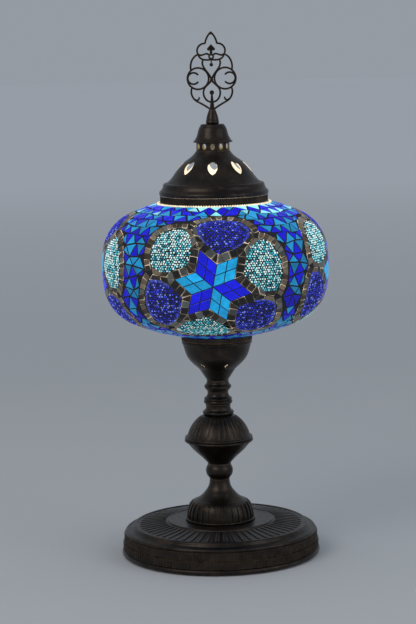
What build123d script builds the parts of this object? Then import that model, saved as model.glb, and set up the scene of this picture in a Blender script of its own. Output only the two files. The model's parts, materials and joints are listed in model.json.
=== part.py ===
from build123d import *
from math import acos, atan2, cos, degrees, hypot, radians, sin, sqrt
import os

# Mosaic glass table lamp: cast base, turned stem, oval mosaic globe, pierced cap and filigree finial.
# Millimetres, +Z up, the lamp's axis on Z, its front towards -Y, felt underside at z = 0.

# ------------------------------------------------------------------ base
felt_radius = 124.0
felt_thick = 2.5
cover_radius = 127.4
cover_thick = 1.5
base_bead_radius = 132.6
base_top_z = 46.0
gadroons = 60
side_teeth = 180
screw_pitch = 80.0                 # pitch radius of the three cover screws
screw_angles = [30, 150, 270]
gland_z = 18.0

# ------------------------------------------------------------------ stem
rod_radius = 5.0
rod_bore = 3.4
stack_bore = 5.2                   # hole through every piece threaded on the rod
foot_ribs = 30
foot_ring_radius = 46.8
foot_z = 49.0
neck_z = 101.0
knop_z = 121.0
flange_z = 152.0
dome_z = 159.0
knop_ribs = 36
collar_low_z = 188.5
collar_mid_z = 203.0
collar_top_z = 217.8
cup_z = 234.0

# ------------------------------------------------------------------ globe
globe_z = 387.0                    # height of the equator
globe_radius = 150.0
globe_half_height = 95.0
side_arc = 180.0                   # outline radius at the equator
side_angle = 8.0                   # half angle of that arc
shoulder_arc = 60.0
coat_thick = 2.4                   # tile and grout on the glass
glass_thick = 2.4
globe_hole_low = 36.0
globe_hole_top = 62.0
coat_low = 47.6
coat_top = 75.8
cup_rim_z = 289.6
cup_rim_top = 294.4
cup_floor_z = 241.0

# ------------------------------------------------------------------ light fitting
rod_top_z = 258.0
holder_top_z = 305.0
bulb_low_z = 283.3
bulb_radius = 30.0
bulb_centre_z = 361.0

# ------------------------------------------------------------------ cap and finial
cap_seat_radius = 69.0
cap_teeth = 120
cap_top_z = 539.4
petal_holes = 8
petal_start = -91.7                # angle of the hole nearest the front
band_holes = 12
crown_z = 550.6
crown_top_z = 574.2
stud_radius = 3.0
spindle_top_z = 592.6
finial_z = 592.0
finial_thick = 3.0
wire_width = 2.5


def polar(centre, radius, angle):
    """A point of the section plane, at an angle in degrees round a centre."""
    return (centre[0] + radius * cos(radians(angle)), centre[1] + radius * sin(radians(angle)))


def toothed(root, tip, teeth):
    """Corner points of a ring of plain V teeth."""
    points = []
    for tooth in range(teeth):
        points.append(polar((0, 0), root, 360 * tooth / teeth))
        points.append(polar((0, 0), tip, 360 * (tooth + 0.5) / teeth))
    return points


def inset(points, thick):
    """The points of a smooth curve moved sideways by the wall thickness, to its left."""
    moved = []
    for i, (x, z) in enumerate(points):
        before = points[max(i - 1, 0)]
        after = points[min(i + 1, len(points) - 1)]
        run = hypot(after[0] - before[0], after[1] - before[1])
        moved.append((x - thick * (after[1] - before[1]) / run, z + thick * (after[0] - before[0]) / run))
    return moved


def sloped_plane(angle, radius, z, tilt):
    """A plane on the surface of a turned part: its normal leans up from the radial line by tilt degrees."""
    out = Vector(cos(radians(angle)), sin(radians(angle)), 0)
    normal = out * cos(radians(tilt)) + Vector(0, 0, sin(radians(tilt)))
    side = Vector(-sin(radians(angle)), cos(radians(angle)), 0)
    return Plane(origin=out * radius + Vector(0, 0, z), x_dir=side, z_dir=normal)


# The globe's outline is five tangent arcs; these are their centres and the angle where two of them meet.
side_centre = (globe_radius - side_arc, globe_z)
shoulder_x = side_centre[0] + (side_arc - shoulder_arc) * cos(radians(side_angle))
shoulder_rise = (side_arc - shoulder_arc) * sin(radians(side_angle))
crown_rise = globe_half_height - shoulder_rise
top_arc = (shoulder_x**2 + crown_rise**2 - shoulder_arc**2) / (2 * (crown_rise - shoulder_arc))
top_angle = degrees(acos(shoulder_x / (top_arc - shoulder_arc)))
top_centre = (0, globe_z + globe_half_height - top_arc)
low_centre = (0, globe_z - globe_half_height + top_arc)


def globe_skin(depth, low_radius, high_radius):
    """Draws the globe's outline at a depth under the tiles, and returns its two ends."""
    arcs = [
        (low_centre, top_arc, -degrees(acos(low_radius / (top_arc - depth))), -top_angle),
        ((shoulder_x, globe_z - shoulder_rise), shoulder_arc, -top_angle, -side_angle),
        (side_centre, side_arc, -side_angle, side_angle),
        ((shoulder_x, globe_z + shoulder_rise), shoulder_arc, side_angle, top_angle),
        (top_centre, top_arc, top_angle, degrees(acos(high_radius / (top_arc - depth)))),
    ]
    ends = []
    for centre, radius, first, last in arcs:
        start = polar(centre, radius - depth, first)
        middle = polar(centre, radius - depth, (first + last) / 2)
        end = polar(centre, radius - depth, last)
        ThreePointArc(start, middle, end)
        ends += [start, end]
    return ends[0], ends[-1]


def glass_top(radius):
    """Height of the bare glass above the shoulder, under the cap."""
    return top_centre[1] + sqrt((top_arc - coat_thick) ** 2 - radius**2)


def glass_low(radius):
    """Height of the glass's underside, over the cup."""
    return low_centre[1] - sqrt((top_arc - coat_thick) ** 2 - radius**2)


# ================================================================== base
with BuildPart() as felt_pad:
    with BuildSketch():
        Circle(felt_radius)
        for angle in screw_angles:
            with Locations(polar((0, 0), screw_pitch, angle)):
                Circle(5.0, mode=Mode.SUBTRACT)
    extrude(amount=felt_thick)
felt_pad.part.label = "felt_pad"

with BuildPart() as base_cover:
    with BuildSketch(Plane.XY.offset(felt_thick)):
        Circle(cover_radius)
        for angle in screw_angles:
            with Locations(polar((0, 0), screw_pitch, angle)):
                Circle(2.3, mode=Mode.SUBTRACT)
    extrude(amount=cover_thick)
base_cover.part.label = "base_cover"

with BuildPart() as cover_screws:
    for angle in screw_angles:
        with BuildSketch(Plane.XY.offset(0.6)):
            with Locations(polar((0, 0), screw_pitch, angle)):
                Circle(3.6)
        extrude(amount=felt_thick - 0.6)
        with BuildSketch(Plane.XY.offset(0.6)):
            with Locations(polar((0, 0), screw_pitch, angle)):
                Rectangle(5.4, 0.9)
                Rectangle(0.9, 5.4)
        extrude(amount=0.9, mode=Mode.SUBTRACT)
        with BuildSketch(Plane.XY.offset(felt_thick)):
            with Locations(polar((0, 0), screw_pitch, angle)):
                Circle(2.0)
        extrude(amount=13)
cover_screws.part.label = "cover_screws"

# One gadroon of the base's top: a tapered rib with rounded ends, lying along the sloping top.
gadroon_out = (106.0, 36.6)
gadroon_in = (75.0, 41.8)
gadroon_big = 4.9
gadroon_small = 3.4
with BuildPart() as gadroon:
    gadroon_run = hypot(gadroon_out[0] - gadroon_in[0], gadroon_out[1] - gadroon_in[1])
    gadroon_lean = degrees(atan2(gadroon_in[1] - gadroon_out[1], gadroon_in[0] - gadroon_out[0]))
    with BuildSketch(Plane(origin=(gadroon_out[0], 0, gadroon_out[1]),
                           x_dir=Vector(cos(radians(gadroon_lean)), 0, sin(radians(gadroon_lean))),
                           z_dir=(0, -1, 0))):
        with BuildLine():
            RadiusArc((-gadroon_big, 0), (0, gadroon_big), gadroon_big)
            Line((0, gadroon_big), (gadroon_run, gadroon_small))
            RadiusArc((gadroon_run, gadroon_small), (gadroon_run + gadroon_small, 0), gadroon_small)
            Line((gadroon_run + gadroon_small, 0), (-gadroon_big, 0))
        make_face()
    revolve(axis=Axis((gadroon_out[0], 0, gadroon_out[1]),
                      (gadroon_in[0] - gadroon_out[0], 0, gadroon_in[1] - gadroon_out[1])))

with BuildPart() as base_shell:
    with BuildSketch(Plane.XZ):
        with BuildLine():
            Polyline((125.6, 28), (125.6, 17.2), (127.6, 17.2), (127.6, 1.5), (130.4, 1.5))
            ThreePointArc((130.4, 1.5), (base_bead_radius, 4.7), (130.4, 7.9))
            Polyline((130.4, 7.9), (129.2, 8.2), (129.2, 19.0), (127.6, 19.0), (127.6, 30.4))
            ThreePointArc((127.6, 30.4), (127.0, 33.8), (122.8, 34.2))
            ThreePointArc((122.8, 34.2), (119.2, 35.4), (117.4, 38.4))
            ThreePointArc((117.4, 38.4), (115.0, 41.0), (111.6, 40.0))
            Line((111.6, 40.0), (71.6, 44.6))
            ThreePointArc((71.6, 44.6), (69.6, 46.6), (67.4, base_top_z))
            Polyline((67.4, base_top_z), (stack_bore, base_top_z), (stack_bore, 30), (100, 30), (125.6, 28))
        make_face()
    revolve(axis=Axis.Z)
    with PolarLocations(0, gadroons, start_angle=3):
        add(gadroon.part)
    with BuildSketch(Plane.XZ):
        Polygon((stack_bore, 20), (125.6, 20), (125.6, 28), (118, 31.4), (108.6, 36.2), (70, 42.6),
                (stack_bore, 42.6), align=None)
    revolve(axis=Axis.Z, mode=Mode.SUBTRACT)
    with BuildSketch(Plane.XZ.offset(-110)):
        with Locations((0, gland_z)):
            Circle(5.6)
    extrude(amount=-30, mode=Mode.SUBTRACT)
base_shell.part.label = "base_shell"

# Two knurled strips wrapped round the side wall.
with BuildPart() as side_knurl_low:
    with BuildSketch(Plane.XY.offset(8.6)):
        with BuildLine():
            Polyline(*toothed(130.2, 131.2, side_teeth), close=True)
        make_face()
        Circle(129.2, mode=Mode.SUBTRACT)
    extrude(amount=9.8)
    with BuildSketch(Plane.XZ.offset(-110)):
        with Locations((0, gland_z)):
            Circle(5.6)
    extrude(amount=-30, mode=Mode.SUBTRACT)
side_knurl_low.part.label = "side_knurl_low"

with BuildPart() as side_knurl_high:
    with BuildSketch(Plane.XY.offset(19.6)):
        with BuildLine():
            Polyline(*toothed(128.6, 129.6, side_teeth), close=True)
        make_face()
        Circle(127.6, mode=Mode.SUBTRACT)
    extrude(amount=10.2)
    with BuildSketch(Plane.XZ.offset(-110)):
        with Locations((0, gland_z)):
            Circle(5.6)
    extrude(amount=-30, mode=Mode.SUBTRACT)
side_knurl_high.part.label = "side_knurl_high"

# Dished cast weight under the shell's top, on three legs that take the cover screws.
with BuildPart() as base_weight:
    with BuildSketch(Plane.XZ):
        Polygon((stack_bore, 24), (92, 24), (93, 25), (93, 37.6), (84, 39.5), (80, 32), (34, 32), (28, 42.6),
                (stack_bore, 42.6), align=None)
    revolve(axis=Axis.Z)
    for angle in screw_angles:
        with BuildSketch(Plane.XY.offset(felt_thick + cover_thick)):
            with Locations(polar((0, 0), screw_pitch, angle)):
                Circle(7)
        extrude(amount=22)
        with BuildSketch(Plane.XY.offset(felt_thick + cover_thick)):
            with Locations(polar((0, 0), screw_pitch, angle)):
                Circle(2.05)
        extrude(amount=14, mode=Mode.SUBTRACT)
base_weight.part.label = "base_weight"

with BuildPart() as rod_washer:
    with BuildSketch(Plane.XY.offset(22)):
        Circle(16)
        Circle(5.1, mode=Mode.SUBTRACT)
    extrude(amount=2)
rod_washer.part.label = "rod_washer"

# The same M10 nut clamps the stack under the weight and on the cup's floor.
with BuildPart() as rod_nuts:
    for nut_z in (17, cup_floor_z):
        with BuildSketch(Plane.XY.offset(nut_z)):
            RegularPolygon(7.5, 6, major_radius=False)
            Circle(rod_radius + 0.02, mode=Mode.SUBTRACT)
        extrude(amount=5)
rod_nuts.part.label = "rod_nuts"

# The gland through the rear of the side wall, with its nut inside.
with BuildPart() as cord_gland:
    with BuildSketch(Plane.XZ.offset(-131.2)):
        with Locations((0, gland_z)):
            Circle(8.5)
    extrude(amount=-2.5)
    with BuildSketch(Plane.XZ.offset(-116)):
        with Locations((0, gland_z)):
            Circle(5.4)
    extrude(amount=-15.2)
    with BuildSketch(Plane.XZ.offset(-110)):
        with Locations((0, gland_z)):
            Circle(3.3)
    extrude(amount=-30, mode=Mode.SUBTRACT)
cord_gland.part.label = "cord_gland"

with BuildPart() as gland_nut:
    with BuildSketch(Plane.XZ.offset(-120.8)):
        with Locations((0, gland_z)):
            RegularPolygon(8, 6, major_radius=False)
            Circle(5.42, mode=Mode.SUBTRACT)
    extrude(amount=-4)
gland_nut.part.label = "gland_nut"

# Terminal block screwed to the weight's underside.
with BuildPart() as terminal_block:
    with BuildSketch(Plane.XY.offset(10)):
        with Locations((0, 54)):
            RectangleRounded(32, 18, 2)
    extrude(amount=14)
    with BuildSketch(Plane.XZ.offset(-40)):
        with Locations((0, 17)):
            with GridLocations(10, 1, 3, 1):
                Circle(2.2)
    extrude(amount=-30, mode=Mode.SUBTRACT)
    with BuildSketch(Plane.XY.offset(8)):
        with Locations((0, 54)):
            with GridLocations(10, 9, 3, 2):
                Circle(1.9)
    extrude(amount=6, mode=Mode.SUBTRACT)
terminal_block.part.label = "terminal_block"

with BuildPart() as terminal_screws:
    with BuildSketch(Plane.XY.offset(10.6)):
        with Locations((0, 54)):
            with GridLocations(10, 9, 3, 2):
                Circle(1.85)
                Rectangle(4.0, 0.6, mode=Mode.SUBTRACT)
    extrude(amount=0.8)
    with BuildSketch(Plane.XY.offset(11.4)):
        with Locations((0, 54)):
            with GridLocations(10, 9, 3, 2):
                Circle(1.85)
    extrude(amount=2.6)
terminal_screws.part.label = "terminal_screws"

# Insulated leads from the terminal block, under the rod's end and up its bore to the lampholder.
lead_radius = 1.1
with BuildPart() as supply_leads:
    for side in (1, -1):
        with BuildLine():
            FilletPolyline((side * 10, 44.9, 17), (side * 10, 30, 8), (side * 1.3, 0, 7.5),
                           (side * 1.3, 0, 261.5), (side * 9, 0, 265), radius=3)
        with BuildSketch(Plane(origin=(side * 10, 44.9, 17), z_dir=(0, -14.9, -9))):
            Circle(lead_radius)
        sweep()
supply_leads.part.label = "supply_leads"

with BuildPart() as earth_lead:
    with BuildLine():
        FilletPolyline((0, 44.9, 17), (0, 34, 16), (-24, 26, 19.5), (-30, 26, 22.2), radius=3)
    with BuildSketch(Plane(origin=(0, 44.9, 17), z_dir=(0, -10.9, -1))):
        Circle(lead_radius)
    sweep()
earth_lead.part.label = "earth_lead"

with BuildPart() as earth_tag:
    with BuildSketch(Plane.XY.offset(23.4)):
        with Locations((-38, 26)):
            Circle(5)
        with Locations((-32, 26)):
            Rectangle(9, 4)
        with Locations((-38, 26)):
            Circle(2.1, mode=Mode.SUBTRACT)
    extrude(amount=0.6)
earth_tag.part.label = "earth_tag"

with BuildPart() as earth_screw:
    with BuildSketch(Plane.XY.offset(20.6)):
        with Locations((-38, 26)):
            RegularPolygon(3.5, 6, major_radius=False)
    extrude(amount=2.8)
    with BuildSketch(Plane.XY.offset(23.4)):
        with Locations((-38, 26)):
            Circle(2.0)
    extrude(amount=0.6)
earth_screw.part.label = "earth_screw"

# ================================================================== stem
with BuildPart() as stem_rod:
    with BuildSketch(Plane.XY.offset(11)):
        Circle(rod_radius)
        Circle(rod_bore, mode=Mode.SUBTRACT)
    extrude(amount=rod_top_z - 11)
    chamfer(stem_rod.edges().filter_by(GeomType.CIRCLE).group_by(Axis.Z)[0].sort_by(SortBy.RADIUS)[-1], 0.6)
stem_rod.part.label = "stem_rod"

with BuildPart() as foot_ring:
    with BuildSketch(Plane.XZ):
        with BuildLine():
            Polyline((foot_ring_radius - 1.5, foot_z), (stack_bore, foot_z), (stack_bore, base_top_z),
                     (foot_ring_radius - 1.5, base_top_z))
            ThreePointArc((foot_ring_radius - 1.5, base_top_z), (foot_ring_radius, (base_top_z + foot_z) / 2),
                          (foot_ring_radius - 1.5, foot_z))
        make_face()
    revolve(axis=Axis.Z)
foot_ring.part.label = "foot_ring"

# One of the foot's upright ribs, leaning in with the wall.
with BuildPart() as foot_rib:
    with BuildSketch(Plane.XZ):
        with BuildLine():
            Polyline((41, foot_z), (44.9, foot_z))
            ThreePointArc((44.9, foot_z), (44.2, 57.5), (41.4, 66.4))
            ThreePointArc((41.4, 66.4), (39.0, 69.6), (36, 71.2))
            Polyline((36, 71.2), (36, 66), (41, 60), (41, foot_z))
        make_face()
    extrude(amount=1.9, both=True)
    fillet(foot_rib.edges().filter_by(Axis.Y, reverse=True).group_by(SortBy.LENGTH)[-1], 0.9)

with BuildPart() as foot_bell:
    with BuildSketch(Plane.XZ):
        with BuildLine():
            Polyline((40.6, foot_z), (43.2, foot_z))
            ThreePointArc((43.2, foot_z), (42.4, 58.0), (39.4, 66.8))
            ThreePointArc((39.4, 66.8), (36.2, 70.6), (31.2, 73.4))
            ThreePointArc((31.2, 73.4), (24.6, 78.2), (20.0, 83.4))
            ThreePointArc((20.0, 83.4), (15.2, 90.6), (13.4, 98.0))
            Polyline((13.4, 98.0), (13.4, neck_z), (stack_bore, neck_z), (stack_bore, 92), (10.8, 91))
            ThreePointArc((10.8, 91), (14.4, 83.4), (20.6, 77.0))
            ThreePointArc((20.6, 77.0), (29.6, 70.6), (36.6, 64.6))
            ThreePointArc((36.6, 64.6), (39.6, 57.4), (40.6, foot_z))
        make_face()
    revolve(axis=Axis.Z)
    with PolarLocations(0, foot_ribs, start_angle=-90):
        add(foot_rib.part)
foot_bell.part.label = "foot_bell"

with BuildPart() as neck_bead:
    with BuildSketch(Plane.XZ):
        with BuildLine():
            Polyline((stack_bore, neck_z), (13.4, neck_z), (13.8, 102.6))
            ThreePointArc((13.8, 102.6), (18.1, 112.6), (15.6, 119.6))
            Polyline((15.6, 119.6), (15.6, knop_z), (stack_bore, knop_z), (stack_bore, neck_z))
        make_face()
    revolve(axis=Axis.Z)
neck_bead.part.label = "neck_bead"

with BuildPart() as knop_lower:
    flare = [(15.6, 122.6), (18.6, 126.2), (25.4, 133.0), (34.6, 141.6), (41.4, 149.6), (43.6, flange_z)]
    flare_inner = inset(flare, 2.2)
    with BuildSketch(Plane.XZ):
        with BuildLine():
            Line((15.6, knop_z), flare[0])
            Spline(*flare)
            Polyline(flare[-1], (40.8, flange_z), flare_inner[-2])
            Spline(*reversed(flare_inner[1:-1]))
            Polyline(flare_inner[1], (stack_bore, 127.4), (stack_bore, knop_z), (15.6, knop_z))
        make_face()
    revolve(axis=Axis.Z)
knop_lower.part.label = "knop_lower"

# The knop's widest ring: a plate with two beads on its edge.
with BuildPart() as knop_ring:
    with BuildSketch(Plane.XZ):
        with BuildLine():
            Polyline((43.8, flange_z), (stack_bore, flange_z), (stack_bore, dome_z), (43.2, dome_z))
            ThreePointArc((43.2, dome_z), (45.2, 157.4), (43.9, 155.6))
            ThreePointArc((43.9, 155.6), (45.9, 153.8), (43.8, flange_z))
        make_face()
    revolve(axis=Axis.Z)
knop_ring.part.label = "knop_ring"

dome_curve = [(41.8, dome_z), (40.4, 164.6), (36.6, 172.6), (30.6, 180.4), (23.2, 186.2), (18.6, collar_low_z)]
# A round-bottomed groove that follows the knop's dome.
with BuildPart() as knop_groove:
    with BuildLine(Plane.XZ):
        Spline((42.9, 161.6), (40.2, 168.2), (36.4, 174.8), (30.4, 182.0), (23.6, 187.4))
    with BuildSketch(Plane(origin=(42.9, 0, 161.6), z_dir=(-2.2, 0, 6.6))):
        Circle(1.75)
    sweep()

with BuildPart() as knop_upper:
    dome_inner = inset(dome_curve, 2.6)
    with BuildSketch(Plane.XZ):
        with BuildLine():
            Spline(*dome_curve)
            Polyline(dome_curve[-1], (stack_bore, collar_low_z), (stack_bore, 184.6), dome_inner[-2])
            Spline(*reversed(dome_inner[1:-1]))
            Polyline(dome_inner[1], (38.4, dome_z), dome_curve[0])
        make_face()
    revolve(axis=Axis.Z)
    with PolarLocations(0, knop_ribs):
        add(knop_groove.part, mode=Mode.SUBTRACT)
knop_upper.part.label = "knop_upper"

with BuildPart() as collar_low:
    with BuildSketch(Plane.XZ):
        with BuildLine():
            Polyline((stack_bore, collar_low_z), (18.6, collar_low_z))
            ThreePointArc((18.6, collar_low_z), (20.8, 191.0), (18.4, 193.8))
            ThreePointArc((18.4, 193.8), (16.4, 197.8), (17.0, 202.0))
            Polyline((17.0, 202.0), (17.0, collar_mid_z), (stack_bore, collar_mid_z), (stack_bore, collar_low_z))
        make_face()
    revolve(axis=Axis.Z)
collar_low.part.label = "collar_low"

with BuildPart() as collar_mid:
    with BuildSketch(Plane.XZ):
        with BuildLine():
            Polyline((stack_bore, collar_mid_z), (17.0, collar_mid_z))
            ThreePointArc((17.0, collar_mid_z), (19.0, 205.4), (17.8, 208.0))
            ThreePointArc((17.8, 208.0), (18.6, 209.8), (17.0, 211.4))
            ThreePointArc((17.0, 211.4), (14.6, 214.4), (13.8, collar_top_z))
            Polyline((13.8, collar_top_z), (stack_bore, collar_top_z), (stack_bore, collar_mid_z))
        make_face()
    revolve(axis=Axis.Z)
collar_mid.part.label = "collar_mid"

with BuildPart() as collar_top:
    with BuildSketch(Plane.XZ):
        with BuildLine():
            Polyline((stack_bore, collar_top_z), (13.8, collar_top_z), (14.2, 220.6))
            ThreePointArc((14.2, 220.6), (16.0, 222.2), (17.0, 224.0))
            ThreePointArc((17.0, 224.0), (18.0, 226.2), (16.6, 228.4))
            ThreePointArc((16.6, 228.4), (15.0, 230.8), (14.6, cup_z))
            Polyline((14.6, cup_z), (stack_bore, cup_z), (stack_bore, collar_top_z))
        make_face()
    revolve(axis=Axis.Z)
collar_top.part.label = "collar_top"

# ================================================================== gallery cup
with BuildPart() as gallery_cup:
    bell = [(14.6, 235.4), (18.4, 241.4), (24.4, 250.4)]
    bowl = [(24.4, 250.4), (33.2, 258.4), (39.8, 266.8), (43.4, 276.6), (45.6, 284.0)]
    bowl_inner = inset(bowl, 2.0)
    with BuildSketch(Plane.XZ):
        with BuildLine():
            Line((14.6, cup_z), bell[0])
            Spline(*bell)
            Spline(*bowl)
            ThreePointArc(bowl[-1], (46.8, 286.8), (45.4, cup_rim_z))
            Polyline((45.4, cup_rim_z), (45.4, cup_rim_top), (44.4, cup_rim_top), (44.4, cup_rim_z - 0.1),
                     (42.4, cup_rim_z - 0.1), (42.4, 280.0), bowl_inner[3])
            Spline(*reversed(bowl_inner[:4]))
            Polyline(bowl_inner[0], (14.0, cup_floor_z), (stack_bore, cup_floor_z), (stack_bore, cup_z), (14.6, cup_z))
        make_face()
    revolve(axis=Axis.Z)
    with BuildSketch(Plane.XY.offset(cup_rim_z)):
        with BuildLine():
            Polyline(*toothed(46.2, 47.0, 72), close=True)
        make_face()
        Circle(45.0, mode=Mode.SUBTRACT)
    extrude(amount=cup_rim_top - cup_rim_z)
    for hole in range(6):
        with BuildSketch(sloped_plane(-128 + 60 * hole, 31.6, 256.9, -48)):
            with BuildLine():
                ThreePointArc((-4.0, 0), (-1.5, 2.0), (0, 5.0))
                ThreePointArc((0, 5.0), (1.5, 2.0), (4.0, 0))
                ThreePointArc((4.0, 0), (1.5, -2.0), (0, -5.0))
                ThreePointArc((0, -5.0), (-1.5, -2.0), (-4.0, 0))
            make_face()
        extrude(amount=6, both=True, mode=Mode.SUBTRACT)
gallery_cup.part.label = "gallery_cup"

# Plate inside the cup's rim, open enough to light the pierced bowl below.
with BuildPart() as gallery_plate:
    with BuildSketch(Plane.XY.offset(cup_rim_z - 0.1)):
        Circle(44.3)
        Circle(31, mode=Mode.SUBTRACT)
        with PolarLocations(37, 12):
            SlotOverall(11, 5, rotation=90, mode=Mode.SUBTRACT)
    extrude(amount=1.5)
gallery_plate.part.label = "gallery_plate"

with BuildPart() as globe_gasket:
    gasket_low = cup_rim_z + 1.4
    with BuildSketch(Plane.XZ):
        Polygon((33.4, gasket_low), (44.2, gasket_low), (44.2, glass_low(44.2) - 0.01),
                (35.9, glass_low(35.9) - 0.15), (35.9, 300.4), (33.4, 300.4), align=None)
    revolve(axis=Axis.Z)
globe_gasket.part.label = "globe_gasket"

# ================================================================== globe
with BuildPart() as glass_globe:
    with BuildSketch(Plane.XZ):
        with BuildLine():
            outer_low, outer_high = globe_skin(coat_thick, globe_hole_low, globe_hole_top)
            inner_low, inner_high = globe_skin(coat_thick + glass_thick, globe_hole_low, globe_hole_top)
            Line(outer_low, inner_low)
            Line(outer_high, inner_high)
        make_face()
    revolve(axis=Axis.Z)
glass_globe.part.label = "glass_globe"

with BuildPart() as mosaic_coat:
    with BuildSketch(Plane.XZ):
        with BuildLine():
            tile_low, tile_high = globe_skin(0, coat_low, coat_top)
            under_low, under_high = globe_skin(coat_thick, coat_low, coat_top)
            Line(tile_low, under_low)
            Line(tile_high, under_high)
        make_face()
    revolve(axis=Axis.Z)
mosaic_coat.part.label = "mosaic_coat"

with BuildPart() as trim_ring:
    with BuildSketch(Plane.XZ):
        with Locations((74.0, glass_top(74.0) + 1.7)):
            Circle(1.6)
    revolve(axis=Axis.Z)
trim_ring.part.label = "trim_ring"

# ================================================================== light fitting
with BuildPart() as holder_cap:
    with BuildSketch(Plane.XZ):
        with BuildLine():
            Polyline((rod_radius + 0.02, 249), (7.6, 249), (7.6, 255.4))
            ThreePointArc((7.6, 255.4), (15.6, 257.8), (19.4, 264.6))
            Polyline((19.4, 264.6), (19.4, 276), (17.8, 276), (17.8, 265.0))
            ThreePointArc((17.8, 265.0), (14.6, 259.4), (8.4, 257.2))
            Polyline((8.4, 257.2), (rod_radius + 0.02, 257.2), (rod_radius + 0.02, 249))
        make_face()
    revolve(axis=Axis.Z)
holder_cap.part.label = "holder_cap"

with BuildPart() as holder_sleeve:
    with BuildSketch(Plane.XZ):
        with BuildLine():
            Polyline((17.6, 276), (20.2, 276), (20.2, 284))
            for turn in range(5):
                step_z = 284 + 4 * turn
                ThreePointArc((20.2, step_z), (19.2, step_z + 2), (20.2, step_z + 4))
            Polyline((20.2, 304), (19.4, holder_top_z), (17.6, holder_top_z), (17.6, 276))
        make_face()
    revolve(axis=Axis.Z)
holder_sleeve.part.label = "holder_sleeve"

with BuildPart() as shade_ring:
    with BuildSketch(Plane.XY.offset(291.4)):
        Circle(24)
        Circle(20.25, mode=Mode.SUBTRACT)
        with PolarLocations(24, 18):
            Circle(1.1, mode=Mode.SUBTRACT)
    extrude(amount=4)
shade_ring.part.label = "shade_ring"

with BuildPart() as holder_core:
    with BuildSketch(Plane.XY.offset(266.2)):
        Circle(17.5)
    extrude(amount=13)
    with BuildSketch(Plane.XY.offset(279.2)):
        Circle(17.5)
        Circle(15.4, mode=Mode.SUBTRACT)
    extrude(amount=5)
holder_core.part.label = "holder_core"

with BuildPart() as screw_shell:
    with BuildSketch(Plane.XZ):
        with BuildLine():
            Line((14.0, 280.6), (14.4, 280.6))
            for turn in range(6):
                step_z = 280.6 + 3.8 * turn
                ThreePointArc((14.4, step_z), (14.0, step_z + 1.9), (14.4, step_z + 3.8))
            Line((14.4, 303.4), (14.0, 303.4))
            for turn in range(6):
                step_z = 280.6 + 3.8 * turn
                ThreePointArc((14.0, step_z), (13.6, step_z + 1.9), (14.0, step_z + 3.8))
        make_face()
    revolve(axis=Axis.Z)
    with BuildSketch(Plane.XY.offset(279.2)):
        Circle(14.4)
        Circle(9, mode=Mode.SUBTRACT)
    extrude(amount=1.4)
screw_shell.part.label = "screw_shell"

with BuildPart() as centre_contact:
    with BuildSketch(Plane.XZ):
        with BuildLine():
            Polyline((-7, 279.2), (6, 279.2), (6, 279.8), (-5.4, 279.8), (2.6, 282.7), (2.4, bulb_low_z - 0.02),
                     (-7, 279.9), (-7, 279.2))
        make_face()
    extrude(amount=2.5, both=True)
centre_contact.part.label = "centre_contact"

# ================================================================== bulb
with BuildPart() as bulb_contact:
    with BuildSketch(Plane.XZ):
        with BuildLine():
            Line((0, bulb_low_z), (2.6, bulb_low_z))
            ThreePointArc((2.6, bulb_low_z), (3.8, bulb_low_z + 0.5), (4.4, bulb_low_z + 1.5))
            Polyline((4.4, bulb_low_z + 1.5), (0, bulb_low_z + 1.5), (0, bulb_low_z))
        make_face()
    revolve(axis=Axis.Z)
bulb_contact.part.label = "bulb_contact"

with BuildPart() as bulb_insulator:
    with BuildSketch(Plane.XZ):
        Polygon((0, bulb_low_z + 1.5), (4.8, bulb_low_z + 1.5), (10.6, bulb_low_z + 4.6), (0, bulb_low_z + 4.6),
                align=None)
    revolve(axis=Axis.Z)
bulb_insulator.part.label = "bulb_insulator"

with BuildPart() as bulb_cap:
    with BuildSketch(Plane.XZ):
        with BuildLine():
            Polyline((12.4, 309.4), (0, 309.4), (0, 287.9), (11.4, 287.9), (12.9, 288.9))
            for turn in range(4):
                step_z = 288.9 + 3.8 * turn
                ThreePointArc((12.9, step_z), (13.3, step_z + 1.9), (12.9, step_z + 3.8))
            Polyline((12.9, 304.1), (13.0, 309.4), (12.4, 309.4))
        make_face()
    revolve(axis=Axis.Z)
    with BuildSketch(Plane.XZ):
        Polygon((0, 288.8), (11.2, 288.8), (12.3, 289.6), (12.3, 309.4), (0, 309.4), align=None)
    revolve(axis=Axis.Z, mode=Mode.SUBTRACT)
bulb_cap.part.label = "bulb_cap"

with BuildPart() as bulb_glass:
    with BuildSketch(Plane.XZ):
        with BuildLine():
            Spline((12.0, 303.0), (12.6, 311.0), (17.6, 324.0), (26.4, 343.4),
                          (bulb_radius, bulb_centre_z))
            ThreePointArc((bulb_radius, bulb_centre_z), polar((0, bulb_centre_z), bulb_radius, 45),
                          (0, bulb_centre_z + bulb_radius))
            Line((0, bulb_centre_z + bulb_radius), (0, bulb_centre_z + bulb_radius - 1))
            ThreePointArc((bulb_radius - 1, bulb_centre_z), polar((0, bulb_centre_z), bulb_radius - 1, 45),
                          (0, bulb_centre_z + bulb_radius - 1))
            Spline((11.0, 303.0), (11.6, 311.2), (16.7, 324.5), (25.4, 343.8), (bulb_radius - 1, bulb_centre_z))
            Line((11.0, 303.0), (12.0, 303.0))
        make_face()
    revolve(axis=Axis.Z)
bulb_glass.part.label = "bulb_glass"

# Glass stem with the four filament rods fused into its tip.
with BuildPart() as bulb_mount:
    with BuildSketch(Plane.XZ):
        with BuildLine():
            Polyline((0, 303), (10.9, 303), (9.6, 306))
            Spline((9.6, 306), (5.6, 312), (3.4, 322), (2.4, 336))
            Polyline((2.4, 336), (3.6, 338), (0, 340), (0, 303))
        make_face()
    revolve(axis=Axis.Z)
    for angle in (0, 90, 180, 270):
        foot = Vector(*polar((0, 0), 1.6, angle), 334)
        tip = Vector(*polar((0, 0), 14, angle + 30), 370)
        with BuildLine():
            Line(foot, tip)
        with BuildSketch(Plane(origin=foot, z_dir=tip - foot)):
            Circle(0.9)
        sweep()
bulb_mount.part.label = "bulb_mount"

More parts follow.
